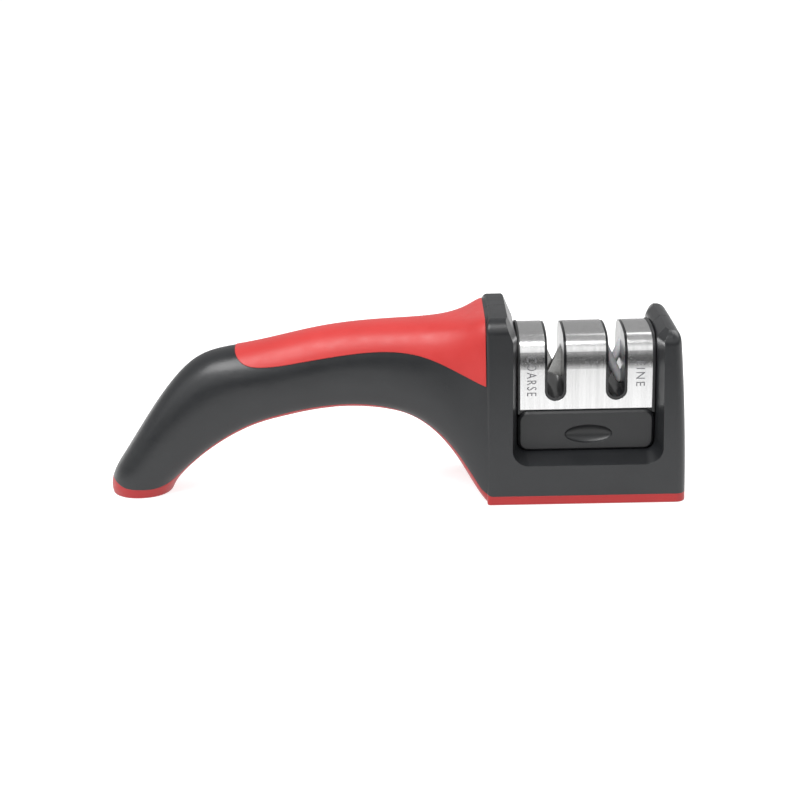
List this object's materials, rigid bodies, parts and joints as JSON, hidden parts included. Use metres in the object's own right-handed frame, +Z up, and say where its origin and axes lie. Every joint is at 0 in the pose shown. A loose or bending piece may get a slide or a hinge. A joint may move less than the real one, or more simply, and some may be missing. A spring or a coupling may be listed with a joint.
{
  "type": "two-stage edge sharpener",
  "caption": "Hand-held pull-through edge sharpener with coarse and fine slots in a lift-out steel-covered cartridge, a soft thumb grip and a non-slip sole.",
  "frame": {"origin": "centre of the bounding box's base: the middle of the tool's length and depth, on the table", "axes": "+X along the tool from the handle's foot to the sharpening head, +Y from the front to the rear, +Z up"},
  "size_m": [0.2024, 0.0484, 0.0654],
  "materials": {
    "housing": "fine satin black ABS",
    "grip": "soft matt red elastomer",
    "sole": "soft red elastomer",
    "pads": "matt black rubber",
    "screws": "bright zinc plate",
    "insert": "satin black ABS",
    "cover": "stainless sheet brushed up and down",
    "guides": "smooth black moulding",
    "carbide": "ground tungsten carbide",
    "ceramic": "fine unglazed ceramic"
  },
  "bodies": {
    "housing": {"front_shell": "housing", "rear_shell": "housing", "thumb_grip": "grip", "base_sole": "sole", "head_feet": "pads", "tail_foot": "pads", "shell_screws": "screws", "detent_clips": "screws"},
    "cartridge": {"insert_front": "insert", "insert_rear": "insert", "steel_cover": "cover", "coarse_guide": "guides", "carbide_plate_front": "carbide", "carbide_plate_rear": "carbide", "carbide_pins": "screws", "fine_guide": "guides", "ceramic_rod_front": "ceramic", "ceramic_rod_rear": "ceramic", "cartridge_screws": "screws", "filings_tray": "guides"}
  },
  "joints": [
    {"name": "cartridge_lift", "type": "slide", "parent": "housing", "child": "cartridge", "axis": [0, 0, 1], "range_m": [0, 0.05]}
  ]
}
